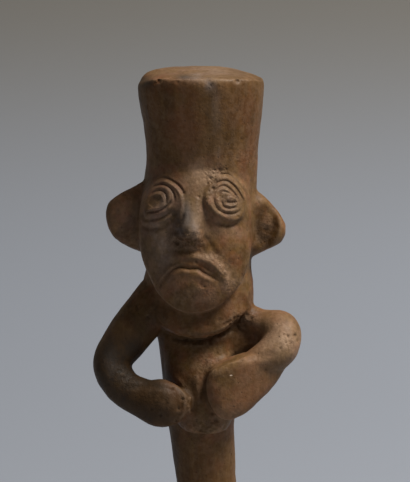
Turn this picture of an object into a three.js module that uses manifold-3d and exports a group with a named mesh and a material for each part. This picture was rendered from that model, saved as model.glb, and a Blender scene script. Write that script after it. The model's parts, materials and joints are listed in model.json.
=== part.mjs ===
// Whistle figurine of burnished brown clay, fired in one hollow piece: a tube on a low foot carries
// a figure in a tall hat, with spiral eyes, a frowning mouth and both hands on the belly.
// Millimetres, Z up. The figure looks towards -Y, and its left hand is on the +X side.
import * as THREE from 'three'
import Module from 'manifold-3d'

const wasm = await Module()
wasm.setup()

// Driving sizes
const height = 157
const footRadius = 19
const footRingInner = 12.5
const tubeRadius = 9
const boreRadius = 6.2
const chamberRadius = 11.4
const chamberTop = 149
const hatRadius = 18.7

// The outline of the face, as half widths and half heights about its middle
const face = { x: -1.9, z: 106, wide: 16.5, below: 21.2, above: 21.5 }
const faceHeart = { x: -2.4, z: 101.5 }
const jawPower = { left: 1.66, right: 2.25, brow: 2.6 }

// The nose, and the lines of the mouth as points across and up the face
const noseRoot = { x: -2.7, z: 120.6 }
const noseTip = { x: -4.2, z: 108.2, rise: 6.4 }
const upperLip = [[-11.8, 95], [-9.6, 99.4], [-6.8, 102], [-1, 102.4], [3.6, 100.6], [7.4, 96.8], [8.7, 92.8]]
const mouthLine = [[-11.4, 94.4], [-10, 97], [-8, 99.2], [-4.6, 99.9], [-1, 99.4], [1.8, 98.2], [4.4, 95.6]]
const lowerLip = [[-8.2, 95.8], [-6, 97.4], [-2.6, 97.6], [0.6, 96.4], [3, 94.4]]
const cheekFold = [[-0.2, 107.6], [3.9, 103.8], [7.4, 101.2]]

// The eyes: rings of clay on a low disc
const eyes = [
  { x: -11.6, z: 118.2, wide: 6.6, tall: 7.2, coilX: -12.9, coilZ: 118.2, side: -1 },
  { x: 7.6, z: 118.6, wide: 6.9, tall: 7.7, coilX: 8.5, coilZ: 118.2, side: 1 }
]
const coilTurns = 3.2
const coilThickness = 0.62

// How far the figure's box is from the tube's own axis
const boxMiddle = { x: -1.13, y: -1.59 }

const clay = new THREE.MeshStandardMaterial({ color: 0x8a6647, roughness: 0.62, metalness: 0 })

// A smooth curve through rows of numbers, which never swings past a row
function through(rows, gap) {
  const place = [0]
  for (let i = 1; i < rows.length; i++) place.push(place[i - 1] + gap(rows[i - 1], rows[i]))
  const last = rows.length - 1
  const slope = rows.map((row, i) => row.map((value, k) => {
    if (i === 0) return (rows[1][k] - value) / (place[1] - place[0])
    if (i === last) return (value - rows[i - 1][k]) / (place[i] - place[i - 1])
    const before = (value - rows[i - 1][k]) / (place[i] - place[i - 1])
    const after = (rows[i + 1][k] - value) / (place[i + 1] - place[i])
    return before * after > 0 ? 2 * before * after / (before + after) : 0
  }))
  return (t) => {
    const s = Math.min(Math.max(t, 0), 1) * place[last]
    let i = 0
    while (i < last - 1 && s > place[i + 1]) i++
    const length = place[i + 1] - place[i]
    const u = (s - place[i]) / length
    const v = 1 - u
    return rows[i].map((value, k) => value * (1 + 2 * u) * v * v + rows[i + 1][k] * (3 - 2 * u) * u * u +
      (slope[i][k] * v - slope[i + 1][k] * u) * length * u * v)
  }
}

// A closed body from rings of points, each end drawn together to its middle
function closedBody(rings) {
  const sides = rings[0].length
  const points = rings.flat()
  for (const ring of [rings[0], rings[rings.length - 1]]) {
    points.push([0, 1, 2].map((k) => ring.reduce((sum, point) => sum + point[k], 0) / sides))
  }
  const index = []
  for (let i = 0; i < rings.length - 1; i++) {
    for (let j = 0; j < sides; j++) {
      const next = (j + 1) % sides
      const a = i * sides + j
      const b = i * sides + next
      index.push(a, b, b + sides, a, b + sides, a + sides)
    }
  }
  const top = (rings.length - 1) * sides
  for (let j = 0; j < sides; j++) {
    const next = (j + 1) % sides
    index.push(next, j, points.length - 2)
    index.push(top + j, top + next, points.length - 1)
  }
  let volume = 0
  for (let i = 0; i < index.length; i += 3) {
    const [a, b, c] = [0, 1, 2].map((k) => new THREE.Vector3(...points[index[i + k]]))
    volume += a.dot(b.cross(c))
  }
  if (volume < 0) index.reverse()
  return new wasm.Manifold(new wasm.Mesh({
    numProp: 3,
    vertProperties: new Float32Array(points.flat()),
    triVerts: new Uint32Array(index)
  }))
}

// A number to a power that keeps its sign
const power = (value, exponent) => Math.sign(value) * Math.abs(value) ** exponent

// Ovals stacked along one axis. A row is place, low and high across, front, back and squareness.
function stack(rows, { sides, steps, along = 'z', bend = (point) => point }) {
  const at = through(rows, (a, b) => Math.hypot(b[0] - a[0], (b[2] - b[1] - a[2] + a[1]) / 2) + 0.01)
  const rings = []
  for (let i = 0; i <= steps; i++) {
    const [place, low, high, front, back, square] = at(i / steps)
    const ring = []
    for (let j = 0; j < sides; j++) {
      const angle = 2 * Math.PI * j / sides
      const across = (low + high) / 2 + (high - low) / 2 * power(Math.cos(angle), 2 / square)
      const deep = (front + back) / 2 + (back - front) / 2 * power(Math.sin(angle), 2 / square)
      const point = { x: [place, deep, across], y: [across, place, deep], z: [across, deep, place] }[along]
      ring.push(bend(point))
    }
    rings.push(ring)
  }
  return closedBody(rings)
}

// A rounded limb: ovals carried along a curve through points, each point with its half width across
// the figure and half thickness from front to back
function limb(points, { sides, steps, blunt = 0.5 }) {
  const curve = new THREE.CatmullRomCurve3(points.map(([x, y, z]) => new THREE.Vector3(x, y, z)))
  const size = through(points.map((point) => [point[3], point[4]]), () => 1)
  const rings = []
  for (let i = 0; i <= steps; i++) {
    const t = (1 - Math.cos(Math.PI * (0.03 + 0.94 * i / steps))) / 2
    const middle = curve.getPoint(t)
    const forward = curve.getTangent(t)
    const thick = new THREE.Vector3(0, 1, 0).addScaledVector(forward, -forward.y).normalize()
    const wide = new THREE.Vector3().crossVectors(forward, thick)
    const [halfWide, halfThick] = size(t)
    const round = Math.sin(Math.PI * Math.min(0.5, Math.max(0.04, Math.min(t, 1 - t) / 0.16 * 0.5))) ** blunt
    const ring = []
    for (let j = 0; j < sides; j++) {
      const angle = 2 * Math.PI * j / sides
      const point = middle.clone()
      point.addScaledVector(wide, halfWide * round * Math.cos(angle))
      point.addScaledVector(thick, halfThick * round * Math.sin(angle))
      ring.push([point.x, point.y, point.z])
    }
    rings.push(ring)
  }
  return closedBody(rings)
}

// A soft step from 0 to 1 between two places
function soft(from, to, value) {
  const t = Math.min(1, Math.max(0, (value - from) / (to - from)))
  return t * t * (3 - 2 * t)
}

// How far a point of the face is from a line through other points of it
function fromLine(x, z, line) {
  let near = Infinity
  for (let i = 0; i < line.length - 1; i++) {
    const [ax, az] = line[i]
    const [bx, bz] = line[i + 1]
    const share = ((x - ax) * (bx - ax) + (z - az) * (bz - az)) / ((bx - ax) ** 2 + (bz - az) ** 2)
    const t = Math.min(1, Math.max(0, share))
    near = Math.min(near, Math.hypot(x - ax - t * (bx - ax), z - az - t * (bz - az)))
  }
  return near
}

// The rounded ground of the face: it falls away to the sides and chin and runs up into the hat
function faceGround(x, z) {
  const u = x - face.x
  const chin = Math.max(0, 97 - z)
  const shield = -17.2 + 0.013 * u * u + 0.00003 * u ** 4 + 0.006 * chin * chin
  const round = 1 - Math.min(0.96, (x / 16.9) ** 2)
  const hatFront = 0.6 - 16.1 * Math.sqrt(round)
  const up = soft(114, 127, z)
  return shield * (1 - up) + hatFront * up
}

// The nose, bent a little to the figure's right, as a height over the ground of the face
function noseHeight(x, z) {
  const up = (z - noseTip.z) / (noseRoot.z - noseTip.z)
  const middle = noseTip.x + (noseRoot.x - noseTip.x) * up
  const half = 4.3 - 2.3 * soft(-0.1, 0.9, up)
  const ridge = noseTip.rise * (1 - soft(-0.25, 1.05, up)) * 1.12
  const across = Math.min(1, Math.abs(x - middle) / half)
  return ridge * (1 - across ** 1.7) * soft(noseTip.z - 4, noseTip.z - 2, z)
}

// The front of the face with its carving
function faceFront(x, z) {
  const bump = (cx, cz, wide, tall) => Math.exp(-(((x - cx) / wide) ** 2) - ((z - cz) / tall) ** 2)
  const along = (line, wide) => Math.exp(-((fromLine(x, z, line) / wide) ** 2))
  let y = faceGround(x, z) - noseHeight(x, z)
  y -= 1.5 * bump(-2, 95, 10, 8)
  y -= 1 * bump(8.5, 104, 6, 7) + 0.7 * bump(-12.5, 104, 5, 7)
  y -= 1.2 * along(upperLip, 1.9)
  y += 1.3 * along(mouthLine, 0.85)
  y -= 0.8 * along(lowerLip, 1.5)
  y += 0.5 * along(cheekFold, 1.1)
  return y
}

// A closed pad whose front follows a surface. Its rings shrink from the outline to the heart, and the
// edge is drawn back.
function pad(outline, heart, front, { sides, steps, edge, backTo }) {
  const rings = []
  for (let i = 0; i <= steps; i++) {
    const reach = i === steps ? 1 : 0.01 + 0.95 * i / (steps - 1)
    const ring = []
    for (let j = 0; j < sides; j++) {
      const [outX, outZ] = outline(j / sides)
      const x = heart.x + (outX - heart.x) * reach
      const z = heart.z + (outZ - heart.z) * reach
      ring.push([x, front(x, z) + edge(reach), z])
    }
    rings.push(ring)
  }
  rings.push(rings[steps].map(([x, y, z]) => [x, Math.max(backTo, y + 0.5), z]))
  return closedBody(rings)
}

// An oval outline, with its own power on each side of the middle
function oval({ x, z, wide, above, below, powers = {} }) {
  return (share) => {
    const angle = 2 * Math.PI * share
    const up = Math.sin(angle) > 0
    const square = up ? powers.brow ?? 2 : (Math.cos(angle) < 0 ? powers.left : powers.right) ?? 2
    return [
      x + wide * power(Math.cos(angle), 2 / square),
      z + (up ? above : below) * power(Math.sin(angle), 2 / square)
    ]
  }
}

// The hat and the back of the head. The worn top dips to the figure's left.
const hat = stack([
  [86, -10, 10, -6, 8, 2],
  [92, -14.4, 14.2, -11, 12.4, 2.2],
  [100, -16, 15, -13, 14.4, 2.3],
  [112, -17.4, 16.2, -14, 15.4, 2.3],
  [121, -17.3, 16.6, -15, 15.4, 2.1],
  [129, -16.4, 16.8, -15.8, 15, 2.1],
  [138, -17.1, 17.6, -16.4, 15.6, 2.1],
  [147, -18.5, 18.5, -17.2, 16.6, 2.1],
  [151.4, -hatRadius, hatRadius, -17.4, 16.9, 2.1],
  [153.6, -17.8, 18.2, -16.8, 16.4, 2.1],
  [155.2, -15.6, 15.6, -14.6, 14.2, 2.1],
  [156.5, -8, 7, -8, 8, 2],
  [height, -2, 2, -2, 2, 2]
], { sides: 28, steps: 15, bend: ([x, y, z]) => [x, y, z - soft(148, 154, z) * (0.045 * x - 0.02 * y)] })

// The trunk, the tube below it and the foot
const trunk = stack([
  [0, 3 - footRadius + 0.6, 3 + footRadius - 0.6, -footRadius + 0.6, footRadius - 0.6, 2],
  [0.7, 3 - footRadius, 3 + footRadius, -footRadius, footRadius, 2],
  [2.6, 3 - footRadius, 3 + footRadius, -footRadius, footRadius, 2],
  [4.6, -13.6, 19.4, -16.6, 16.6, 2],
  [9, -9.4, 14.6, -12, 12, 2],
  [16, -7.2, 12.2, -9.7, 9.7, 2],
  [25, 1.8 - tubeRadius, 1.8 + tubeRadius, -tubeRadius, tubeRadius, 2],
  [37, -8.4, 10.3, -9.3, 9.3, 2],
  [48, -9.9, 9.7, -9.8, 9.8, 2],
  [60, -11.6, 11.2, -11.5, 10.8, 2],
  [72, -12.8, 12.2, -11, 11.8, 2.1],
  [84, -14.6, 13.8, -9.5, 13, 2.1],
  [94, -14.6, 13.6, -7, 13.4, 2.1],
  [104, -9, 9, -4, 8, 2]
], { sides: 26, steps: 21 })

// The shoulders and collar: a roll of clay round the neck, whose lower edge rises to the figure's left
const collar = stack([
  [76.8, -9, 8, -10.5, 4, 2.2],
  [77.4, -12, 10.6, -13.4, 8, 2.3],
  [79.6, -15, 13, -15, 10, 2.3],
  [84, -17.4, 15.6, -15.2, 12, 2.3],
  [90, -17.8, 15.8, -13.6, 13.2, 2.3],
  [97, -16.4, 15, -12, 13.6, 2.2],
  [104, -14.5, 14.8, -10, 13.6, 2.1],
  [107, -9, 9, -5, 9, 2]
], { sides: 26, steps: 11, bend: ([x, y, z]) => [x, y, z + (1 - soft(77, 88, z)) * 0.022 * (x + 2) ** 2] })

// The belly, which hangs as a rounded lip in front of the tube
const belly = stack([
  [48.9, -2.2, 4.2, -14.5, -8, 2],
  [49.6, -5.4, 7.2, -16.6, -4, 2],
  [52, -8, 9, -17.6, 0, 2.1],
  [57, -10, 10.4, -17.2, 4, 2.2],
  [64, -11, 10.6, -15, 6, 2.2],
  [71, -11.4, 10.4, -12.8, 6, 2.2],
  [78, -10, 9, -10, 6, 2]
], { sides: 20, steps: 10 })

// The face, standing proud of the neck like a shield with a bevelled edge
const mask = pad(
  oval({ ...face, powers: jawPower }), faceHeart, faceFront,
  { sides: 40, steps: 21, edge: (reach) => 1.3 * reach ** 14, backTo: -3 }
)

// One eye: a low disc with a coil of clay wound inwards on it
function eye({ x, z, wide, tall, coilX, coilZ, side }) {
  const disc = pad(
    oval({ x, z, wide, above: tall, below: tall }), { x, z },
    (u, v) => faceGround(u, v) - 0.75,
    { sides: 20, steps: 3, edge: (reach) => 1.5 * reach ** 6, backTo: -10 }
  )
  const count = Math.round(coilTurns * 12)
  const rings = []
  const spot = (s) => {
    const angle = side * (Math.PI * 0.9 - 2 * Math.PI * coilTurns * s)
    const reach = 0.93 - 0.8 * s
    const middleX = x + (coilX - x) * s
    const middleZ = z + (coilZ - z) * s
    const u = middleX + wide * reach * Math.cos(angle)
    const v = middleZ + tall * reach * Math.sin(angle)
    return new THREE.Vector3(u, faceGround(u, v) - 0.75 - 0.25 * (1 - reach), v)
  }
  for (let i = 0; i <= count; i++) {
    const s = i / count
    const middle = spot(s)
    const forward = spot(s + 0.001).sub(middle).normalize()
    const out = new THREE.Vector3(0, -1, 0)
    const across = new THREE.Vector3().crossVectors(forward, out).normalize()
    const fade = Math.min(1, 0.3 + 8 * s, 0.3 + 8 * (1 - s))
    const ring = []
    for (let j = 0; j < 5; j++) {
      const angle = 2 * Math.PI * j / 5
      const point = middle.clone()
      point.addScaledVector(across, coilThickness * fade * Math.sin(angle))
      point.addScaledVector(out, coilThickness * fade * Math.cos(angle))
      ring.push([point.x, point.y, point.z])
    }
    rings.push(ring)
  }
  return disc.add(closedBody(rings))
}

// The ears: thick lugs stacked outwards from the head
const rightEar = stack([
  [-11, 99.5, 126, -8, 6, 2.2],
  [-17, 101.2, 123.2, -7.6, 4.6, 2.2],
  [-20, 102.5, 121.5, -7, 3, 2.3],
  [-23, 104, 120.1, -6.6, 1.8, 2.3],
  [-26, 106, 118.3, -5.8, 0.8, 2.2],
  [-27.9, 109, 116.2, -4.6, -0.2, 2.1],
  [-28.6, 111.6, 114, -3.4, -1.4, 2]
], { sides: 14, steps: 8, along: 'x' })
const leftEar = stack([
  [9, 98, 124, -7, 6, 2.2],
  [15.6, 100.7, 120.8, -7, 4.4, 2.2],
  [18.6, 102.3, 118.7, -6.8, 3, 2.3],
  [21.3, 103.7, 115.9, -6.4, 1.6, 2.3],
  [23.6, 105.1, 112.9, -5.4, 0.6, 2.2],
  [24.9, 107.2, 110.2, -3.8, -1, 2]
], { sides: 14, steps: 8, along: 'x' })

// The figure's right arm, with its hand on the belly
const rightArm = limb([
  [-9, -1, 97, 7, 7],
  [-14.4, -3, 86.2, 7, 6.6],
  [-22.2, -6, 76.4, 6.5, 6.2],
  [-26.6, -8.5, 69, 5.6, 5.6],
  [-23.6, -11, 63.2, 5.4, 5.2],
  [-18, -13.4, 60.2, 5.7, 5],
  [-12, -15.4, 58.8, 6.6, 4.8],
  [-4.6, -16.8, 57.6, 6.8, 4.4]
], { sides: 13, steps: 22 })

// The figure's left arm: it bulges from the collar, turns at the elbow and comes back over the chest,
// with its thick inner side against the trunk
const leftArm = limb([
  [9, -2, 84.2, 4, 5],
  [17, -4, 81.2, 4, 5],
  [23.4, -7, 78.6, 5.9, 5.8],
  [23, -9.6, 73.2, 6, 6],
  [18.4, -11.4, 70.4, 4.4, 5],
  [10, -12.4, 68.6, 2, 3.4]
], { sides: 13, steps: 18 })
const armpit = limb([
  [8, 0, 74, 8, 5],
  [16, -1.4, 74.6, 8, 4],
  [23, -3.6, 75, 5, 4]
], { sides: 10, steps: 6 })

// The left forearm and hand: a broad flat paddle laid across the belly
const paddleOutline = new THREE.CatmullRomCurve3([
  [0.9, 62.4], [3, 66.8], [9.4, 68.9], [18, 69.4], [24.8, 71.6], [24.6, 67.2],
  [19.8, 60.8], [14.8, 56.6], [8.8, 54.2], [3.4, 56.8]
].map(([x, z]) => new THREE.Vector3(x, 0, z)), true)
const paddle = pad(
  (share) => {
    const point = paddleOutline.getPoint((1 - share) % 1)
    return [point.x, point.z]
  },
  { x: 13, z: 63 },
  (x) => -21.4 + 0.3 * Math.max(0, x - 6) + 0.02 * Math.max(0, x - 14) ** 2,
  { sides: 26, steps: 4, edge: (reach) => 1.8 * reach ** 5, backTo: -10.5 }
)

// The mouthpiece at the back: a short flattened spout. Its windway is a slot into the bore, and the
// window through which the air leaves is below it.
const spout = stack([
  [4, -6, 6, 60, 73, 2],
  [12, -5.8, 5.8, 60.6, 71, 2.2],
  [17, -5.2, 5.2, 60.6, 68, 2.4],
  [20.6, -4.8, 4.8, 60.6, 66, 2.5],
  [21.2, -4, 4, 61.2, 65.4, 2.3]
], { sides: 14, steps: 7, along: 'y' })
const windway = stack([
  [2, -2.4, 2.4, 62.4, 64, 14],
  [24, -2.4, 2.4, 62.4, 64, 14]
], { sides: 8, steps: 1, along: 'y' })
const window = stack([
  [2, -2.4, 2.4, 51.6, 55.4, 14],
  [14, -2.4, 2.4, 51.6, 56.4, 14]
], { sides: 8, steps: 1, along: 'y' })

// The hollow: a bore up the tube that opens into a chamber inside the head and hat
const hollow = stack([
  [-1, 3 - footRingInner, 3 + footRingInner, -footRingInner, footRingInner, 2],
  [0.6, 3 - footRingInner, 3 + footRingInner, -footRingInner, footRingInner, 2],
  [5, -6, 11.6, -8.8, 8.8, 2],
  [12, 2.6 - boreRadius, 2.6 + boreRadius, -boreRadius, boreRadius, 2],
  [30, 1.8 - boreRadius, 1.8 + boreRadius, -boreRadius, boreRadius, 2],
  [50, 0.2 - boreRadius, 0.2 + boreRadius, -boreRadius, boreRadius, 2],
  [76, -7, 7, -6.4, 6.8, 2],
  [94, -9.2, 9.2, -7, 8.8, 2],
  [108, -chamberRadius, chamberRadius - 0.6, -9, 10.4, 2],
  [134, -chamberRadius, chamberRadius, -10.4, 10.2, 2],
  [142, -10.8, 10.8, -9.6, 9.6, 2],
  [147.6, -6.6, 6.6, -6, 6, 2],
  [chamberTop, -2, 2, -2, 2, 2]
], { sides: 16, steps: 16 })

let figure = hat
for (const body of [
  trunk, collar, belly, mask, eye(eyes[0]), eye(eyes[1]), rightEar, leftEar, rightArm, leftArm, armpit,
  paddle, spout
]) figure = figure.add(body)
for (const body of [hollow, windway, window]) figure = figure.subtract(body)

const mesh = figure.getMesh()
const geometry = new THREE.BufferGeometry()
geometry.setAttribute('position', new THREE.BufferAttribute(mesh.vertProperties, 3))
geometry.setIndex(new THREE.BufferAttribute(mesh.triVerts, 1))
geometry.computeVertexNormals()

const whistle = new THREE.Mesh(geometry, clay)
whistle.name = 'whistle_figurine'
whistle.position.set(-boxMiddle.x, -boxMiddle.y, 0)

const model = new THREE.Group()
model.add(whistle)
export default model
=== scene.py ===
import json
import math

import bpy
import numpy as np
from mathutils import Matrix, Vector

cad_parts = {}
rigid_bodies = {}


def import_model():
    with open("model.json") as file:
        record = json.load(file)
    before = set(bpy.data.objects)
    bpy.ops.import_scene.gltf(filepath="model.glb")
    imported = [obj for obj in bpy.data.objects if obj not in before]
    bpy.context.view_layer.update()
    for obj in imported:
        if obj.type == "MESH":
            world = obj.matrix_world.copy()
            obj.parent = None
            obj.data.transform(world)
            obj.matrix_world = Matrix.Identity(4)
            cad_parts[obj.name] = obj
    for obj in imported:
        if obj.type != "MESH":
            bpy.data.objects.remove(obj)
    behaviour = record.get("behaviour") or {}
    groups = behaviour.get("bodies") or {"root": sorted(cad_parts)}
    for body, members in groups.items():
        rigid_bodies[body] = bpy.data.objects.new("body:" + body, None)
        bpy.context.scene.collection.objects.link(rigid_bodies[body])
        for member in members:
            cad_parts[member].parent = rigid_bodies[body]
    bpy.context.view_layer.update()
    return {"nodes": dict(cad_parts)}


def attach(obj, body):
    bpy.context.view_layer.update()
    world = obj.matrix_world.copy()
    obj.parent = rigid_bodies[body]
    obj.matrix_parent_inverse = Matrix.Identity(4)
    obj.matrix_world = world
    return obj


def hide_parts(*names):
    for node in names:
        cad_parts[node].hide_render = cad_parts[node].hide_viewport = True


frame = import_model()
print("frame loaded:", ", ".join(frame["nodes"]))


# A soft step from 0 to 1: 3t^2 - 2t^3 between low and high
def softStep(low, high, value):
    t = np.clip((value - low) / (high - low), 0, 1)
    return t * t * (3 - 2 * t)


# A power that keeps the sign of what it is taken of
def signedPower(value, exponent):
    return np.sign(value) * np.abs(value) ** exponent


# A bell over x and z: exp(-(dx/wide)^2 - (dz/tall)^2)
def bell(x, z, middleX, middleZ, wide, tall):
    return np.exp(-(((x - middleX) / wide) ** 2) - ((z - middleZ) / tall) ** 2)


# A curve through rows that never swings past one: cubic Hermite pieces whose slope at a row is the harmonic
# mean of the slopes on its two sides, or 0 where these differ in sign
def throughRows(rows, gaps, shares):
    place = np.concatenate([[0], np.cumsum(gaps)])
    steep = np.diff(rows, axis=0) / gaps[:, None]
    before, after = steep[:-1], steep[1:]
    same = before * after > 0
    inner = np.where(same, 2 * before * after / np.where(same, before + after, 1), 0)
    slope = np.vstack([steep[:1], inner, steep[-1:]])
    s = np.clip(shares, 0, 1) * place[-1]
    i = np.clip(np.searchsorted(place, s, side="right") - 1, 0, len(gaps) - 1)
    u = ((s - place[i]) / gaps[i])[:, None]
    v = 1 - u
    bow = (slope[i] * v - slope[i + 1] * u) * gaps[i][:, None] * u * v
    return rows[i] * (1 + 2 * u) * v**2 + rows[i + 1] * (3 - 2 * u) * u**2 + bow


# A centripetal Catmull-Rom curve: a cubic between each two points, whose end tangents weigh the points
# around them by the square roots of their distances
def smoothPath(points, shares, closed=False):
    points = np.array(points, float)
    if closed:
        padded = np.vstack([points[-1:], points, points[:2]])
    else:
        padded = np.vstack([2 * points[0] - points[1], points, 2 * points[-1] - points[-2]])
    spans = len(padded) - 3
    place = np.clip(shares, 0, 1) * spans
    i = np.minimum(place.astype(int), spans - 1)
    t = (place - i)[:, None]
    p0, p1, p2, p3 = (padded[i + k] for k in range(4))
    pairs = ((p0, p1), (p1, p2), (p2, p3))
    d0, d1, d2 = (np.linalg.norm(b - a, axis=1, keepdims=True) ** 0.5 for a, b in pairs)
    leave = ((p1 - p0) / d0 - (p2 - p0) / (d0 + d1) + (p2 - p1) / d1) * d1
    arrive = ((p2 - p1) / d1 - (p3 - p1) / (d1 + d2) + (p3 - p2) / d2) * d1
    fromStart = (1 - t) ** 2 * ((1 + 2 * t) * p1 + t * leave)
    return fromStart + t**2 * ((3 - 2 * t) * p2 - (1 - t) * arrive)


# Ovals stacked along an axis. A row is place, low and high across, front, back and squareness s, and the
# point at angle a is middle + half width * cos(a)^(2/s) across and middle + half depth * sin(a)^(2/s) deep
def stackRings(rows, along="z", sides=96, steps=90, bend=None):
    rows = np.array([row if len(row) == 6 else (*row, 2) for row in rows], float)
    gaps = np.hypot(np.diff(rows[:, 0]), np.diff(rows[:, 2] - rows[:, 1]) / 2) + 0.01
    shares = np.linspace(0, 1, steps + 1)
    place, low, high, front, back, square = throughRows(rows, gaps, shares).T[:, :, None]
    angle = np.linspace(0, 2 * np.pi, sides, endpoint=False)
    across = (low + high) / 2 + (high - low) / 2 * signedPower(np.cos(angle), 2 / square)
    deep = (front + back) / 2 + (back - front) / 2 * signedPower(np.sin(angle), 2 / square)
    axes = {"x": (place, deep, across), "y": (across, place, deep), "z": (across, deep, place)}[along]
    rings = np.stack(np.broadcast_arrays(*axes), axis=-1).astype(float)
    if bend:
        rings[..., 2] += bend(rings[..., 0], rings[..., 1], rings[..., 2])
    return rings


# A rounded limb: ovals carried along a smooth path. A row is x, y, z, half width across the figure and half
# thickness, and both shrink by sin(pi/2 * share)^0.5 over the last part of each end
def limbRings(rows, sides=48, steps=90, endPart=0.16):
    rows = np.array(rows, float)
    t = (1 - np.cos(np.pi * (0.03 + 0.94 * np.linspace(0, 1, steps + 1)))) / 2
    middle = smoothPath(rows[:, :3], t)
    forward = smoothPath(rows[:, :3], t + 1e-4) - smoothPath(rows[:, :3], t - 1e-4)
    forward /= np.linalg.norm(forward, axis=1, keepdims=True)
    thick = np.array([0, 1, 0]) - forward * forward[:, 1:2]
    thick /= np.linalg.norm(thick, axis=1, keepdims=True)
    wide = np.cross(forward, thick)
    halves = throughRows(rows[:, 3:], np.ones(len(rows) - 1), t)
    rounding = np.sin(np.pi * np.clip(np.minimum(t, 1 - t) / endPart * 0.5, 0.04, 0.5)) ** 0.5
    angle = np.linspace(0, 2 * np.pi, sides, endpoint=False)[None, :, None]
    halfWide, halfThick = (halves[:, k, None, None] * rounding[:, None, None] for k in (0, 1))
    return (
        middle[:, None]
        + wide[:, None] * halfWide * np.cos(angle)
        + thick[:, None] * halfThick * np.sin(angle)
    )


# A closed pad: its rings shrink from an outline to the heart, at the depth front(x, z) + edge(reach), and a
# last ring closes it at the back
def padRings(outline, heart, front, edge, backTo, steps=60):
    reach = np.append(0.01 + 0.95 * np.linspace(0, 1, steps), 1)[:, None]
    x = heart[0] + (outline[:, 0] - heart[0]) * reach
    z = heart[1] + (outline[:, 1] - heart[1]) * reach
    rings = np.stack([x, front(x, z) + edge(reach), z], axis=-1)
    closing = rings[-1:].copy()
    closing[..., 1] = np.maximum(backTo, closing[..., 1] + 0.5)
    return np.concatenate([rings, closing])


# Faces between neighbouring rings, and a fan at each end. The faces are turned round if the volume that
# they enclose, the sum of a . (b x c) / 6 over the triangles, comes out negative.
def closeRings(rings):
    count, sides = rings.shape[:2]
    points = np.vstack([rings.reshape(-1, 3), rings[0].mean(0), rings[-1].mean(0)])
    here = np.arange(sides)
    there = (here + 1) % sides
    rows = np.arange(count - 1)[:, None] * sides
    quads = [rows + here, rows + there, rows + there + sides, rows + here + sides]
    quads = np.stack(quads, -1).reshape(-1, 4)
    top = (count - 1) * sides
    foot = np.stack([there, here, np.full(sides, len(points) - 2)], -1)
    head = np.stack([top + here, top + there, np.full(sides, len(points) - 1)], -1)
    triangles = np.vstack([quads[:, [0, 1, 2]], quads[:, [0, 2, 3]], foot, head])
    a, b, c = (points[triangles[:, k]] for k in range(3))
    if np.einsum("ij,ij->", a, np.cross(b, c)) < 0:
        quads, foot, head = quads[:, ::-1], foot[:, ::-1], head[:, ::-1]
    return points, quads.tolist() + foot.tolist() + head.tolist()


# An object in the scene with its mesh, camera or light
def addObject(name, data):
    made = bpy.data.objects.new(name, data)
    bpy.context.scene.collection.objects.link(made)
    return made


# One mesh object from several closed bodies, each given by its rings
def meshOf(name, bodies):
    points, faces, start = [], [], 0
    for rings in bodies:
        bodyPoints, bodyFaces = closeRings(rings)
        points.append(bodyPoints)
        faces += [[i + start for i in face] for face in bodyFaces]
        start += len(bodyPoints)
    mesh = bpy.data.meshes.new(name)
    mesh.from_pydata(np.vstack(points), [], faces)
    return addObject(name, mesh)


# The head: hat, face and ears. A swell of the face is x, z, half width, half height and rise.
head = {
    "hatRows": [
        [86, -10, 10, -6, 8, 2], [92, -14.4, 14.2, -11, 12.4, 2.2], [100, -16, 15, -13, 14.4, 2.3],
        [112, -17.4, 16.2, -14, 15.4, 2.3], [121, -17.3, 16.6, -14.6, 15.4, 2.1],
        [130, -16.4, 16.8, -14.9, 15, 2.1], [138, -17.1, 17.6, -15.8, 15.6, 2.1],
        [147, -18.5, 18.5, -17.2, 16.6, 2.1], [153.6, -18.8, 18.8, -17.7, 17.3, 2.1],
        [154.7, -18.5, 18.6, -17.4, 17, 2.1], [155.2, -17.5, 17.6, -16.4, 16, 2.1],
        [155.4, -14, 14, -13, 13, 2.1], [155.6, -8, 8, -8, 8, 2], [155.7, -2, 2, -2, 2, 2],
    ],
    "faceMiddle": -1.9,
    "faceOutline": [
        (14.6, 108), (14.2, 102), (13, 97.4), (11.4, 94), (9.3, 91.6), (6.9, 89.4), (3.9, 87.4),
        (0.9, 86.2), (-3, 85.8), (-6.6, 86.6), (-9.8, 88.4), (-12.7, 91.4), (-14.8, 95), (-16.6, 99),
        (-17.9, 103.4), (-18.4, 109), (-18.2, 115), (-17, 121), (-14, 125.6), (-8.6, 128), (-1.6, 128.6),
        (5.6, 128), (11, 125.4), (13.8, 120.4), (14.6, 114),
    ],
    "noseRoot": (-2.6, 121), "noseTip": (-3.9, 110.4), "noseRise": 5,
    "rightEar": [
        [-11, 99.5, 126, -8, 6, 2.2], [-17, 101.2, 123.2, -7.6, 4.6, 2.2], [-20, 102.5, 121.5, -7, 3, 2.3],
        [-23, 104, 120.1, -6.6, 1.8, 2.3], [-26, 106, 118.3, -5.8, 0.8, 2.2],
        [-27.9, 109, 116.2, -4.6, -0.2, 2.1], [-28.6, 111.6, 114, -3.4, -1.4, 2],
    ],
    "leftEar": [
        [9, 98, 124, -7, 6, 2.2], [15.6, 100.7, 120.8, -7, 4.4, 2.2], [18.6, 102.3, 118.7, -6.8, 3, 2.3],
        [21.3, 103.7, 115.9, -6.4, 1.6, 2.3], [23.6, 105.1, 112.9, -5.4, 0.6, 2.2],
        [24.9, 107.2, 110.2, -3.8, -1, 2],
    ],
    "swells": [
        [-2, 94.5, 10, 8.5, 1.9], [8.5, 104, 6, 7, 1], [-12, 104, 5, 7, 0.8], [-1.5, 119.5, 11, 5, 1.1],
    ],
}


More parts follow.
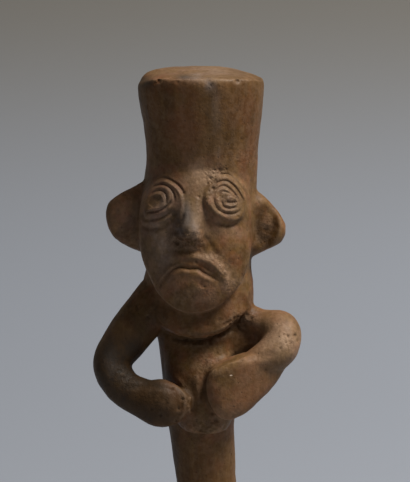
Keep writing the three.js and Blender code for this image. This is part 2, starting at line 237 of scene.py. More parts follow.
# The rounded ground of the face: a shield that falls away as u^2 and u^4 to the sides and as the square of
# the depth to the chin, and runs up into the oval of the hat above the eyes
def faceGround(x, z):
    u = x - head["faceMiddle"]
    chin = np.maximum(0, 97 - z)
    shield = -17.4 + 0.013 * u**2 + 0.00003 * u**4 + 0.005 * chin**2
    hatFront = 0.4 - 15.4 * np.sqrt(1 - np.minimum(0.96, (x / 16.9) ** 2))
    up = softStep(115, 129, z)
    return shield * (1 - up) + hatFront * up


# The nose over that ground: its ridge rises from the root to the tip and falls as 1 - across^2 to the sides,
# and its underside slopes back to the lip
def noseHeight(x, z):
    (rootX, rootZ), (tipX, tipZ) = head["noseRoot"], head["noseTip"]
    up = (z - tipZ) / (rootZ - tipZ)
    half = 5.6 - 2.6 * softStep(-0.1, 1.1, up)
    ridge = head["noseRise"] * (1 - softStep(-0.25, 1.05, up)) * 1.12
    across = np.minimum(1, np.abs(x - tipX - (rootX - tipX) * up) / half)
    return ridge * (1 - across**2) ** 1.3 * softStep(tipZ - 6.8, tipZ + 1.8, z)


# The front of the face before its lines are cut: ground, nose, and bells for muzzle, cheeks and brow
def faceFront(x, z):
    swell = sum(rise * bell(x, z, *place) for *place, rise in head["swells"])
    return faceGround(x, z) - noseHeight(x, z) - swell


# How far the worn top of the hat is raised: it slopes up to the back as 0.07 * y, falls away to the sides as
# 0.0054 * x^2, hangs at the front corner on the figure's right, and leans to the left at the back
def hatWear(x, y, z):
    behind = softStep(0, 12, y)
    dome = 0.0054 * x**2 * softStep(-16, -4, y) * (1 - 0.6 * behind * softStep(2, -6, x))
    corner = 1.3 * softStep(-13.5, -19, x) * (1 - behind) + 0.025 * x * behind
    return softStep(144, 154, z) * (0.45 + 0.07 * y - dome - corner)


# Hat, face and ears as closed bodies
def headBodies():
    faceOutline = smoothPath(head["faceOutline"], np.linspace(1, 0, 220, endpoint=False), closed=True)
    return [
        stackRings(head["hatRows"], steps=140, bend=hatWear),
        padRings(faceOutline, (-2.4, 103), faceFront, lambda reach: 0.8 * reach**22, -3, steps=110),
        stackRings(head["rightEar"], along="x", sides=72, steps=70),
        stackRings(head["leftEar"], along="x", sides=72, steps=70),
    ]


# The body: trunk, tube and foot, collar, belly, arms and hands, and the mouthpiece at the back. The foot is
# drawn in at each height z by so much on the figure's right and left.
body = {
    "footMiddle": 3, "footRadius": 19,
    "footDrawnIn": [(0, 0.6, 0.6), (0.7, 0, 0), (2.6, 0, 0), (4.6, 2.4, 2.6)],
    "trunkRows": [
        [9, -9.4, 14.6, -12, 12], [16, -7.2, 12.2, -9.7, 9.7], [25, -7.2, 10.8, -9, 9],
        [37, -8.4, 10.3, -9.3, 9.3], [48, -9.9, 9.7, -9.8, 9.8], [60, -11.6, 11.2, -11.5, 10.8],
        [72, -12.8, 12.2, -11, 11.8, 2.1], [84, -14.6, 13.8, -9.5, 13, 2.1],
        [94, -14.6, 13.6, -7, 13.4, 2.1], [104, -9, 9, -4, 8, 2],
    ],
    "collarRows": [
        [77.4, -9, 8, -10.5, 4, 2.2], [77.9, -12, 10.6, -13.4, 8, 2.3], [79.8, -15, 13, -15, 10, 2.3],
        [84, -17.4, 15.6, -14.4, 12, 2.3], [90, -17.8, 15.8, -13, 13.2, 2.3],
        [97, -16.4, 15, -12, 13.6, 2.2], [104, -14.5, 14.8, -10, 13.6, 2.1], [107, -9, 9, -5, 9, 2],
    ],
    "bellyRows": [
        [48.9, -2.2, 4.2, -14.5, -8], [49.6, -5.4, 7.2, -16.6, -4], [52, -8, 9, -17.6, 0],
        [57, -10, 10.4, -17.2, 4], [64, -11, 10.6, -15, 6], [71, -11.4, 10.4, -12.8, 6],
        [78, -10, 9, -10, 6],
    ],
    "rightArm": [
        [-9, -1, 97, 7, 7], [-14.4, -3, 86.2, 7, 6.6], [-22.2, -6, 76.4, 6.5, 6.2],
        [-26.6, -8.5, 69, 5.6, 5.6], [-23.6, -11, 63.2, 5.4, 5.2], [-18, -13.2, 60, 5.9, 5],
        [-12, -15.3, 58.6, 7.4, 4.8], [-2.8, -17.1, 58.3, 7.8, 4.3],
    ],
    "leftArm": [
        [9, -2, 84.2, 4, 5], [17, -4, 81.2, 4, 5], [23.6, -7.6, 78.8, 5.7, 6], [22.6, -11.2, 74, 5.8, 6.2],
        [17.4, -13, 70.8, 4.8, 5.4], [9, -13.6, 68.6, 2.6, 4],
    ],
    "armpit": [[6, -2.2, 74, 8.5, 6], [14, -2.4, 75, 8, 5], [22.5, -4.8, 76, 5.6, 4.6]],
    "paddle": [
        [1.3, 63.2], [1.5, 67], [3, 69.4], [6.4, 70.9], [11.4, 72.8], [18, 74], [25, 74.6], [26.2, 71.4],
        [24, 66.8], [20.6, 62.4], [17, 59.2], [12.8, 55.9], [8.1, 54.2], [5, 55.4], [2.7, 58.6],
    ],
    "spout": [
        [4, -6, 6, 60, 73, 2], [12, -5.8, 5.8, 60.6, 71, 2.2], [17, -5.2, 5.2, 60.6, 68, 2.4],
        [20.6, -4.8, 4.8, 60.6, 66, 2.5], [21.2, -4, 4, 61.2, 65.4, 2.3],
    ],
}


# How far the collar's lower edge is lifted to the sides: 0.022 * (x + 2)^2
def collarLift(x, y, z):
    return (1 - softStep(77, 88, z)) * 0.022 * (x + 2) ** 2


# The flat front of the left hand, which falls back as 0.0125 * (x - 1)^2
def paddleFront(x, z):
    return -21.4 + 0.0125 * np.maximum(0, x - 1) ** 2


# Trunk, collar, belly, limbs and mouthpiece as closed bodies
def bodyBodies():
    middle, radius = body["footMiddle"], body["footRadius"]
    foot = [
        [z, middle - radius + right, middle + radius - left, right - radius, radius - right]
        for z, right, left in body["footDrawnIn"]
    ]
    paddleOutline = smoothPath(body["paddle"], np.linspace(1, 0, 160, endpoint=False), closed=True)
    return [
        stackRings(foot + body["trunkRows"], steps=170),
        stackRings(body["collarRows"], steps=80, bend=collarLift),
        stackRings(body["bellyRows"], sides=80, steps=70),
        limbRings(body["rightArm"], steps=120),
        limbRings(body["leftArm"]),
        limbRings(body["armpit"], steps=40),
        padRings(paddleOutline, (12, 65), paddleFront, lambda reach: 1.7 * reach**8, -10.5, steps=50),
        stackRings(body["spout"], along="y", sides=48, steps=50),
    ]


# What is cut out: the foot's mouth, the bore and the chamber above it, given by their radii, the windway
# through the mouthpiece and the window
hollow = {
    "foot": 12.5, "bore": 6.2, "chamber": 11.4, "top": 149,
    "windway": [[2, -2.4, 2.4, 62.4, 64, 14], [24, -2.4, 2.4, 62.4, 64, 14]],
    "window": [[2, -2.4, 2.4, 51.6, 55.4, 14], [14, -2.4, 2.4, 51.6, 56.4, 14]],
}


# The cutters for the bore with its chamber and for the two slots
def hollowBodies():
    wide, bore, room = hollow["foot"], hollow["bore"], hollow["chamber"]
    rows = [
        [-1, 3 - wide, 3 + wide, -wide, wide], [0.6, 3 - wide, 3 + wide, -wide, wide],
        [5, -6, 11.6, -8.8, 8.8],
        *([z, x - bore, x + bore, -bore, bore] for z, x in ((12, 2.6), (30, 1.8), (50, 0.2))),
        [76, -7, 7, -6.4, 6.8], [94, -9.2, 9.2, -7, 8.8],
        [108, -room, room - 0.6, -9, 10.4], [134, -room, room, -10.4, 10.2], [142, -10.8, 10.8, -9.6, 9.6],
        [147.6, -6.6, 6.6, -6, 6], [hollow["top"], -2, 2, -2, 2],
    ]
    slots = [stackRings(hollow[name], along="y", sides=32, steps=1) for name in ("windway", "window")]
    return [stackRings(rows, sides=40, steps=48), *slots]


# Carving of the face. A line is its half width, its depth (above 0 is cut in, below 0 stands out) and the
# points that it runs through.
carving = [
    # grooves of the eye on the figure's right, and its hollow middle
    [0.38, 0.55, [(-15.9, 122), (-14.6, 123.1), (-12.5, 124.6), (-10.3, 125), (-8.3, 124.2), (-6.3, 122.9),
        (-5.1, 121.2)]],
    [0.3, 0.48, [(-14.8, 121.7), (-13.3, 122.9), (-11.1, 123.4), (-9.2, 122.5), (-8, 120.8), (-7.9, 119.1)]],
    [0.3, 0.5, [(-15.1, 119.8), (-13.8, 121.1), (-11.9, 121.7), (-10.6, 121), (-10.1, 119.6),
        (-10.4, 118.1)]],
    [0.32, 0.48, [(-16.2, 115.1), (-14, 115.6), (-11.8, 116.2), (-9.9, 117.5), (-8.8, 119.1)]],
    [0.4, 0.45, [(-16.8, 112.9), (-13.6, 113.4), (-10.8, 114.3), (-8.6, 116.2)]],
    [0.7, 0.6, [(-17.4, 111.4), (-15.6, 110.6), (-13.4, 110.7), (-11, 111.6), (-8.6, 113.4)]],
    [1, 0.6, [(-14.9, 117), (-14.2, 118.2), (-13.2, 119), (-12.6, 118.4)]],
    # its ridges
    [0.48, -0.4, [(-15, 122.3), (-13.3, 123.9), (-10.9, 124.4), (-8.5, 123.4), (-6.8, 121.8), (-5.8, 120.2)]],
    [0.36, -0.3, [(-15.5, 120.5), (-14.1, 121.9), (-12.1, 122.6), (-10.2, 122.1), (-9.3, 121),
        (-9.1, 119.4)]],
    [0.36, -0.32, [(-14.6, 119.8), (-13.1, 120.6), (-11.9, 120.5), (-11.2, 119.4), (-11.4, 118.1),
        (-12.4, 117.1), (-14.3, 116.4)]],
    [0.34, -0.22, [(-15.8, 115.9), (-13.6, 116.4), (-11.6, 117.1), (-10.2, 118.4)]],
    [0.4, -0.34, [(-16.4, 114.2), (-14.3, 114.6), (-11.9, 115.2), (-10.1, 116.4), (-8.7, 118)]],
    [0.5, -0.26, [(-16.4, 112.1), (-13.6, 112.3), (-11, 113.1), (-9, 114.6)]],
    # grooves of the eye on the figure's left
    [0.32, 0.42, [(5, 126.3), (7.6, 126.2), (9.4, 125), (10.9, 123.5), (12.5, 121.2), (13.5, 118.8)]],
    [0.3, 0.34, [(3.7, 123.3), (5, 124.3), (7.1, 124.5), (8.9, 123.5), (10.6, 121.5), (12.1, 118.7)]],
    [0.3, 0.3, [(3.7, 121.3), (5, 122.7), (6.7, 123.1), (8.4, 121.9), (10.3, 119.8)]],
    [0.3, 0.3, [(5, 119.8), (5.6, 121.2), (7.1, 121.5), (8.9, 120.7)]],
    [0.4, 0.6, [(7.2, 118.7), (8.6, 118.4), (9.9, 118.4)]],
    [0.3, 0.36, [(5.9, 118.9), (6.3, 117.5), (8, 116.8), (10.2, 117)]],
    [0.38, 0.45, [(3.5, 119.6), (4, 117.7), (5.6, 115.9), (8.1, 115.1), (10.5, 115.4), (11.5, 116.5)]],
    [0.9, 0.66, [(0.6, 120.2), (0.7, 118.2), (1.6, 116.4), (3, 114.7), (4.8, 113), (7, 111.9), (9.2, 111.8),
        (11.4, 112.4)]],
    # its ridges
    [0.9, -0.62, [(1.5, 120.8), (2.1, 118.4), (3.9, 116), (6.4, 114.4), (8.9, 113.6), (10.8, 113.7),
        (12.3, 114.8)]],
    [0.42, -0.38, [(3.7, 124.7), (5.4, 125.4), (7.4, 125.3), (9.6, 123.8), (11.6, 121.2), (12.9, 118.4)]],
    [0.34, -0.24, [(4, 123), (5.4, 123.7), (7.1, 123.8), (8.7, 122.7), (10.4, 120.6), (11.6, 118.4)]],
    [0.36, -0.26, [(4.2, 119.9), (4.6, 121.8), (6.3, 122.4), (8, 121.4), (9.7, 120.1)]],
    [0.38, -0.26, [(5, 119.6), (5.1, 118), (6.1, 116.7), (8.4, 116), (10.8, 116.4)]],
    [0.34, -0.34, [(6.8, 118.7), (7.5, 119.6), (8.8, 119.8), (10.1, 119.2), (10.5, 118.2), (8.8, 117.4),
        (7.2, 117.8)]],
    # the flank of the nose and the fold of the cheek
    [0.4, 0.35, [(-5, 115.2), (-5.9, 113.1)]],
    [0.7, 0.4, [(-0.5, 111.8), (0.3, 109.6), (1.1, 108)]],
    [0.8, 0.3, [(0.9, 108.4), (1.9, 107.2), (2.7, 105.8), (3.8, 104), (5.2, 102.9)]],
    [0.7, 0.3, [(-9.2, 105.4), (-6.2, 104.6), (-3.4, 104.6), (-1.4, 105.4)]],
    # the mouth: its line, the hollow under the upper lip and the lips
    [0.5, 0.8, [(-13, 92.2), (-12, 94), (-10.9, 95.7), (-9.7, 97.3), (-8, 98.9), (-6.2, 99.7), (-3.6, 99.3),
        (-1.1, 99.2), (0.6, 98.1), (2.6, 97), (4.6, 95.9)]],
    [0.95, 0.5, [(-1.2, 100.6), (1.3, 99.4), (3.2, 97.8), (4.5, 96.2)]],
    [1.2, 0.2, [(-10.8, 99.4), (-8.6, 101)]],
    [1.35, -0.9, [(-9, 102), (-6.2, 102.6), (-2.1, 102.7), (0.8, 102), (3.8, 100.4), (6.1, 98), (7.4, 95.2),
        (7.8, 92.4)]],
    [0.9, -0.35, [(-8.6, 96.6), (-6.2, 98), (-3, 97.8), (-0.4, 97), (1.6, 96)]],
    [0.6, 0.25, [(-12.4, 99.8), (-12.6, 97.4)]],
]
eyeDiscs = [[-11.3, 118, 6.4, 7.3, 0.5], [7.2, 119, 6.7, 7.4, 0.65]]  # x, z, half width, half height, rise
faceDents = [  # x, z, radius, depth
    [-7.3, 110.4, 1, 0.8], [-6.8, 107, 1.3, 1.4], [-1.3, 107.9, 1.2, -0.9], [-1.9, 105.6, 1.1, -0.6],
    [-4.2, 107, 0.9, 0.7], [-4.3, 109.2, 0.8, -0.45], [-0.6, 110, 0.8, -0.4], [-6.6, 112.6, 0.9, 0.35],
    [-0.8, 120.1, 0.45, 0.35], [-5.2, 121.2, 0.4, 0.35], [1.6, 113.5, 0.5, 0.3], [3.3, 122.5, 0.5, 0.6],
    [0.8, 94.1, 0.45, 0.4], [-0.3, 94.9, 0.6, 0.25], [-2.6, 91.1, 0.35, 0.25], [-7.2, 92.2, 0.5, 0.3],
    [-1.6, 101.6, 0.5, 0.45], [-8.4, 100.7, 1.3, 0.45], [-8.1, 115, 0.9, 0.4], [0.4, 94.7, 2.2, -0.15],
    [5.4, 127.4, 0.6, 0.4], [4.6, 126.6, 0.4, 0.3], [6.1, 125.9, 0.4, 0.3], [3.4, 121.3, 0.4, 0.2],
    [2.6, 125.2, 0.35, 0.3], [1.8, 123.8, 0.35, 0.3], [3.8, 127.6, 0.35, 0.3], [2.2, 121.8, 0.3, 0.25],
    [1.5, 119.5, 0.3, 0.2], [2.9, 123.9, 0.3, 0.25], [7.2, 127.8, 0.3, 0.25], [10.6, 114.2, 0.3, 0.2],
]
# Lines of the same kind on the body
bodyLines = [
    # the fold of the left elbow, the arm's inner edge and the paddle's upper edge
    [0.9, 0.3, [(10.6, 72.4), (14, 73.2), (18, 73.2), (21.6, 74)]],
    [0.8, -0.45, [(20.4, 82.2), (18.8, 79.6), (17.6, 77.4), (13.5, 74.4), (9.4, 72.2)]],
    [0.6, -0.25, [(2.2, 69.4), (4.6, 71), (8.4, 71.9), (12, 72.4)]],
    # the belly beside the paddle
    [1.5, -0.5, [(-1.4, 67.4), (-1, 64.4), (-0.7, 61.4), (0, 58.4)]],
    # the right hand: its edge, the gap at its end, a hollow within the edge, and the forearm's upper edge
    [0.7, -0.35, [(-9.6, 66.2), (-7.1, 65.1), (-5.4, 63.3), (-4.5, 61.2), (-4.4, 58.3), (-5.1, 55.8),
        (-6.6, 53.6)]],
    [0.9, 0.2, [(-2.9, 64.4), (-2.6, 62), (-2.7, 59.6), (-3.1, 57), (-4.2, 55)]],
    [1.6, 0.25, [(-8.8, 62.8), (-7.2, 60.2), (-7.4, 57)]],
    [0.6, 0.25, [(-23, 63.7), (-18.6, 64.1), (-13.9, 64.3), (-10.4, 64), (-8.6, 63.2)]],
    # under the collar, and on it
    [0.85, 1, [(-10.2, 77.6), (-7, 76.7), (-3, 76.6), (1, 76.8), (4.4, 78), (7.6, 79.3), (10.4, 80.4)]],
    [0.35, 0.25, [(5.8, 81.5), (7.5, 82.4), (9.9, 83.6)]],
    # the belly's lower lip
    [0.6, -0.45, [(-4.8, 52.6), (-3.4, 51), (-0.1, 50), (3.7, 50.5), (6.9, 52.3)]],
]
earDents = [[18.9, 110.2, 4.7, 8.2, 2.1], [-22.5, 112, 4.6, 6.5, 0.8]]  # x, z, half width, half height, depth
pits = [  # x, z, radius, depth
    [-12.4, 153.6, 0.75, 1.1], [-13.4, 152.8, 0.5, 0.5], [-6.8, 153.3, 0.3, 0.3], [10.4, 153.7, 0.7, 1],
    [14.6, 137.2, 0.4, 0.25], [11.7, 136.4, 0.5, 0.3], [1.6, 153.6, 0.9, 0.5], [2.9, 152.4, 0.6, 0.3],
    [-18.4, 86.3, 0.8, 0.8], [-15.9, 83.4, 0.5, 0.5], [1.6, 82, 0.4, 0.4], [5.2, 83.4, 0.4, 0.35],
    [9.4, 86.4, 0.35, 0.4], [9.2, 85.2, 0.45, 0.5], [9.9, 86, 0.3, 0.3], [9.6, 83.6, 0.4, 0.4],
    [10.8, 83.9, 0.5, 0.5], [12.1, 82.7, 0.7, 0.6], [12.8, 80.6, 0.6, 0.5], [-5.6, 60.6, 0.4, 0.5],
    [-8.4, 63.5, 0.5, 0.5], [-6.6, 57.8, 0.4, 0.4], [-10, 59.6, 0.35, 0.35], [-12, 55.8, 0.4, 0.4],
    [-14.6, 57.6, 0.35, 0.3], [9.8, 82.2, 0.5, 0.5], [13.4, 83.6, 0.5, 0.4], [14.9, 82.6, 0.6, 0.45],
    [11.2, 80.7, 0.6, 0.5], [8.6, 81.4, 0.5, 0.5], [16.4, 83.8, 0.4, 0.3], [-1.4, 54.2, 0.35, 0.4],
    [1.2, 53.4, 0.3, 0.35], [-2.6, 56.6, 0.3, 0.3], [-7.3, 53.7, 0.4, 0.5], [2.5, 50.6, 0.5, 0.4],
    [-0.1, 50.8, 0.4, 0.3], [4.3, 53.6, 0.7, 0.5], [3.1, 55.8, 0.5, 0.4], [25.4, 78.5, 0.4, 0.6],
    [27.3, 78.5, 0.5, 0.8], [28.1, 77, 0.35, 0.5], [23.1, 75.4, 0.35, 0.4], [24.2, 79.1, 0.3, 0.4],
    [26.2, 76.6, 0.3, 0.4], [24.8, 77, 0.3, 0.35], [18.9, 69.2, 0.45, 0.45], [19.2, 108.9, 0.9, 0.5],
]
worn = [  # rough and granular places: x, z, half width, half height, share
    [2.4, 102.6, 4.6, 1.6, 0.55], [6.4, 98.6, 2.2, 4, 0.6], [8.6, 94, 3.4, 2.6, 0.6], [-2, 91, 9, 5, 0.4],
    [4.4, 126.4, 3.4, 2.4, 0.9], [7, 119, 7, 8, 0.4], [25.5, 77.5, 3.4, 4, 0.4], [1.6, 70, 6, 5, 0.45],
    [11.5, 82, 4, 3, 1], [19, 108.5, 3.5, 6, 0.6], [-4, 107.5, 5, 3.5, 1.2], [-4.4, 60, 1.4, 6, 0.6],
    [1, 52, 8, 3, 0.7], [12, 131, 6, 3, 0.4], [-14, 60, 9, 5, 0.3], [-22, 106, 5, 6, 0.4],
    [-23, 66, 6, 6, 0.5], [-4, 155.4, 16, 1.6, 0.3],
]


# How far points are from a line through x and z, as the least distance to its straight pieces, and how far
# along it, from 0 to 1, the nearest place is
def fromLine(x, z, line):
    a, d = line[:-1], np.diff(line, axis=0)
    overX, overZ = x[:, None] - a[:, 0], z[:, None] - a[:, 1]
    t = np.clip((overX * d[:, 0] + overZ * d[:, 1]) / (d**2).sum(1), 0, 1)
    gaps = np.hypot(overX - t * d[:, 0], overZ - t * d[:, 1])
    nearest = gaps.argmin(1)
    rows = np.arange(len(x))
    return gaps[rows, nearest], (nearest + t[rows, nearest]) / len(a)


# How far a tool pushed the surface in: depth * exp(-(gap/half)^2), fading over the first and last seventh of
# the line, with a low rim of pushed-up clay beside a cut, a fifth as high and two half widths out
def pressed(x, z, lines):
    push = np.zeros(len(x))
    for half, depth, points in lines:
        line = smoothPath(points, np.linspace(0, 1, 8 * len(points)))
        low, high = line.min(0) - 4 * half, line.max(0) + 4 * half
        near = (x > low[0]) & (x < high[0]) & (z > low[1]) & (z < high[1])
        gap, share = fromLine(x[near], z[near], line)
        rim = 0.2 * depth * np.exp(-(((gap - 2 * half) / half) ** 2)) if depth > 0 else 0
        fade = softStep(-0.06, 0.14, np.minimum(share, 1 - share))
        push[near] += fade * (depth * np.exp(-((gap / half) ** 2)) - rim)
    return push


# Smooth noise: random numbers on a cubic lattice that repeats after 32 cells, blended between the eight
# corners of a cell with 3t^2 - 2t^3
def clayNoise(points, size, seed):
    lattice = np.random.default_rng(seed).uniform(-1, 1, (32, 32, 32))
    cell = points / size
    low = np.floor(cell).astype(int)
    t = cell - low
    t = t * t * (3 - 2 * t)
    total = np.zeros(len(points))
    for corner in np.ndindex(2, 2, 2):
        i, j, k = ((low + corner) % 32).T
        total += np.prod(np.where(corner, t, 1 - t), axis=1) * lattice[i, j, k]
    return total


# A value of each point or edge as a row of numbers
def readRows(items, name, count, kind=np.float32):
    values = np.empty(len(items) * count, kind)
    items.foreach_get(name, values)
    return values.reshape(-1, count)


def readPoints(mesh):
    return readRows(mesh.vertices, "co", 3).astype(float)


def readNormals(mesh):
    return readRows(mesh.vertex_normals, "vector", 3).astype(float)


def readEdges(mesh):
    return readRows(mesh.edges, "vertices", 2, np.int32)


def writePoints(mesh, points):
    mesh.vertices.foreach_set("co", points.astype(np.float32).ravel())
    mesh.update()


# The mean of each point's neighbours along the edges
def aroundMean(values, edges):
    values = values.reshape(len(values), -1)
    count = np.bincount(edges.ravel(), minlength=len(values))
    columns = [
        np.bincount(edges[:, 0], column[edges[:, 1]], len(values))
        + np.bincount(edges[:, 1], column[edges[:, 0]], len(values))
        for column in values.T
    ]
    return np.stack(columns, -1) / np.maximum(count, 1)[:, None]


# A modifier put on a piece with its settings and applied
def useModifier(piece, kind, **settings):
    modifier = piece.modifiers.new(kind.lower(), kind)
    for name, value in settings.items():
        setattr(modifier, name, value)
    bpy.context.view_layer.objects.active = piece
    bpy.ops.object.modifier_apply(modifier=modifier.name)


# How the clay is worked
work = {
    "voxel": 0.38,  # grain at which the bodies are fused, in mm
    "evenOut": 5, "evenJoins": 2,  # rounds that take the grain out again
    "evenShares": (0.5, 0.53),  # how far a round moves a point out and back
    "fill": 30,  # rounds of pressing clay into the joins
    "fillDepth": 0.02, "fillStep": 0.9,  # depth from which a join is filled in full, and how far in a round
    "hatEdge": 16, "hatTop": 120,  # rounds of smoothing at the hat's edge and on its top
    "lineDepth": 0.75,  # share of their depth at which the face's lines are cut
    "mostFaces": 190000,
    "faceShare": 0.25,  # how far the face takes part in the thinning
    "waves": [(15, 0.26), (6, 0.15), (2.6, 0.09), (1.3, 0.045)],  # size and height of the fingers' unevenness
    "strokes": (2.6, 0.07),  # width and depth of the burnishing strokes up the hat
    "pores": 420, "poreRadius": (0.16, 0.36), "poreDepth": 0.55,  # number, radii, share of these as depth
    "poresAnywhere": 0.12, "poresOnFace": 0.15,  # their share away from the spots, and its part on the face
    "poreSpots": [  # where there are more: x, z, half width, half height, share
        [0, 58, 9, 10, 1], [24, 77, 7, 7, 0.8], [18, 108, 6, 8, 0.8], [4, 83, 14, 5, 0.6],
        [-14, 60, 12, 6, 0.5], [-2, 92, 9, 6, 0.3],
    ],
    "seed": 11,
    "place": (1.13, 1.59, 0),  # where the tube's own axis stands in the frame, in mm
    "sharpAngle": 50,
}


# How much a join is filled: little at the jaw, the collar's lower edge, the hands and the nose
def fillShare(p):
    x, y, z = p.T
    jaw = bell(x, z, -2, 92, 30, 10) * softStep(-9, -13, y)
    hands = bell(x, z, 4, 61, 24, 9) * softStep(-9, -13, y)
    nose = bell(x, z, -3.6, 108, 6, 7) * softStep(-14, -17, y)
    collar = bell(x, z - 0.022 * (x + 2) ** 2, -1, 76.5, 16, 3.5) * softStep(-6, -9, y)
    return np.clip(1 - 0.85 * jaw - 0.6 * hands - 0.8 * nose - 0.85 * collar, 0.05, 1)


# Evening out: each round moves a point a share of the way to the mean of its neighbours and a share back
def evenOut(mesh, rounds):
    points, edges = readPoints(mesh), readEdges(mesh)
    out, back = work["evenShares"]
    for _ in range(rounds):
        points += out * (aroundMean(points, edges) - points)
        points -= back * (aroundMean(points, edges) - points)
    writePoints(mesh, points)


# Evening out the hat's top: its edge is rounded off by moving points towards their neighbours' mean, and
# then the top's points move towards it by height alone
def evenTop(mesh, edgeRounds, topRounds):
    points, normals, edges = readPoints(mesh), readNormals(mesh), readEdges(mesh)
    top = points[:, 2] > 149
    number = np.cumsum(top) - 1
    edges = number[edges[top[edges].all(1)]]
    moved, upward = points[top], normals[top, 2]
    nearEdge = 0.5 * softStep(151, 153, moved[:, 2])[:, None]
    for _ in range(edgeRounds):
        moved += nearEdge * (aroundMean(moved, edges) - moved)
    height = moved[:, 2].copy()
    share = 0.5 * softStep(0.7, 0.93, upward) * softStep(151.5, 153.5, height)
    for _ in range(topRounds):
        height += share * (aroundMean(height, edges)[:, 0] - height)
    moved[:, 2] = height
    points[top] = moved
    writePoints(mesh, points)


# Filling the joins: a point that lies lower than its neighbours is lifted towards their mean
def fillJoins(mesh, rounds):
    edges = readEdges(mesh)
    for _ in range(rounds):
        points, normals = readPoints(mesh), readNormals(mesh)
        lift = aroundMean(points, edges) - points
        hollowness = np.einsum("ij,ij->i", lift, normals)
        share = softStep(0.0, work["fillDepth"], hollowness) * fillShare(points) * work["fillStep"]
        share = aroundMean(share, edges)[:, 0]
        writePoints(mesh, points + lift * share[:, None])


# Finer faces: the edges whose two points are chosen are cut in half
def refine(piece, chosen):
    mesh = piece.data
    points, edges = readPoints(mesh), readEdges(mesh)
    inside = chosen(points)
    mesh.vertices.foreach_set("select", inside)
    mesh.edges.foreach_set("select", inside[edges].all(1))
    mesh.polygons.foreach_set("select", np.zeros(len(mesh.polygons), bool))
    for thing in bpy.context.view_layer.objects:
        thing.select_set(thing == piece)
    bpy.context.view_layer.objects.active = piece
    bpy.context.tool_settings.mesh_select_mode = (False, True, False)
    bpy.ops.object.mode_set(mode="EDIT")
    bpy.ops.mesh.subdivide(number_cuts=1, smoothness=0)
    bpy.ops.object.mode_set(mode="OBJECT")


# Whether points are on the front of the face
def onFace(p):
    x, y, z = p.T
    return (y < -8) & (z > 84) & (z < 129) & (np.abs(x + 1.9) < 17)


# Cutting the face: lines, eye discs and dents move the front of the face in or out along y
def cutFace(mesh):
    points, normals = readPoints(mesh), readNormals(mesh)
    x, y, z = points.T
    front = softStep(-0.05, 0.3, -normals[:, 1]) * softStep(-6, -9, y)
    push = np.zeros(len(x))
    for middleX, middleZ, wide, tall, rise in eyeDiscs:
        reach = np.hypot((x - middleX) / wide, (z - middleZ) / tall)
        push -= rise * (1 - softStep(0.84, 1.06, reach)) * (1 + 0.5 * np.maximum(0, 1 - reach**2))
    for middleX, middleZ, radius, depth in faceDents:
        push += depth * bell(x, z, middleX, middleZ, radius, radius)
    onlyFace = softStep(82, 86, z) * (1 - softStep(128, 130, z))
    push = (push + work["lineDepth"] * pressed(x, z, carving)) * onlyFace
    points[:, 1] += push * front
    writePoints(mesh, points)


# How worn the front of the figure is at x and z: the greatest of the worn places' bells
def wornShare(x, z, normals):
    bells = np.max([share * bell(x, z, *spot) for *spot, share in worn], axis=0)
    return bells * softStep(-0.4, 0.2, -normals[:, 1])


# Working the rest of the clay: waves from the fingers, creases, dished ears, crumbly places and pits
def workClay(mesh):
    points, normals = readPoints(mesh), readNormals(mesh)
    x, y, z = points.T
    smoothFace = 1 - 0.5 * bell(x, z, -2, 108, 18, 22) * softStep(-8, -12, y)
    for number, (size, rise) in enumerate(work["waves"]):
        wave = clayNoise(points * [1, 1, 0.7], size, work["seed"] + number)
        points = points + normals * (wave * rise * smoothFace)[:, None]
    size, rise = work["strokes"]
    burnished = softStep(127, 132, z) * (1 - softStep(151, 154, z)) + 0.6 * (1 - softStep(40, 48, z))
    strokes = clayNoise(points * [1, 1, 0.07], size, work["seed"] + 5)
    points = points + normals * (strokes * rise * burnished)[:, None]
    front = softStep(0.0, 0.4, -normals[:, 1])
    notFace = 1 - onFace(points)
    push = pressed(x, z, bodyLines) * front * softStep(-6, -9, y)
    for middleX, middleZ, wide, tall, depth in earDents:
        reach = np.hypot((x - middleX - 0.12 * (z - middleZ)) / wide, (z - middleZ) / tall)
        push += depth * (1 - softStep(0.45, 1.05, reach)) * front
    for middleX, middleZ, radius, depth in pits:
        push += depth * bell(x, z, middleX, middleZ, radius, radius) * front * notFace
    underCollar = bell(x, z - 0.02 * (x + 2) ** 2, 0, 76.6, 12, 1.6) * softStep(-4, -8, y)
    rough = clayNoise(points, 1.1, work["seed"] + 8) + 0.7 * clayNoise(points, 0.6, work["seed"] + 9)
    points[:, 1] += push
    coarse = clayNoise(points, 2.1, work["seed"] + 10)
    uneven = 0.25 * rough * underCollar + (0.17 * rough + 0.22 * coarse) * wornShare(x, z, normals)
    points = points + normals * uneven[:, None]
    writePoints(mesh, points)


# Pores: small round dents, depth * exp(-(gap/radius)^2), at places drawn at random
def addPores(mesh):
    points, normals = readPoints(mesh), readNormals(mesh)
    x, _, z = points.T
    wish = work["poresAnywhere"] + sum(share * bell(x, z, *spot) for *spot, share in work["poreSpots"])
    wish = wish * np.where(onFace(points), work["poresOnFace"], 1)
    dice = np.random.default_rng(work["seed"])
    chosen = dice.choice(len(points), work["pores"], replace=False, p=wish / wish.sum())
    radii = dice.uniform(*work["poreRadius"], work["pores"])
    dent = np.zeros(len(points))
    for place, radius in zip(points[chosen], radii):
        near = np.abs(points - place).max(1) < 2 * radius
        gap = np.linalg.norm(points[near] - place, axis=1)
        dent[near] = np.maximum(dent[near], work["poreDepth"] * radius * np.exp(-((gap / radius) ** 2)))
    writePoints(mesh, points - normals * dent[:, None])


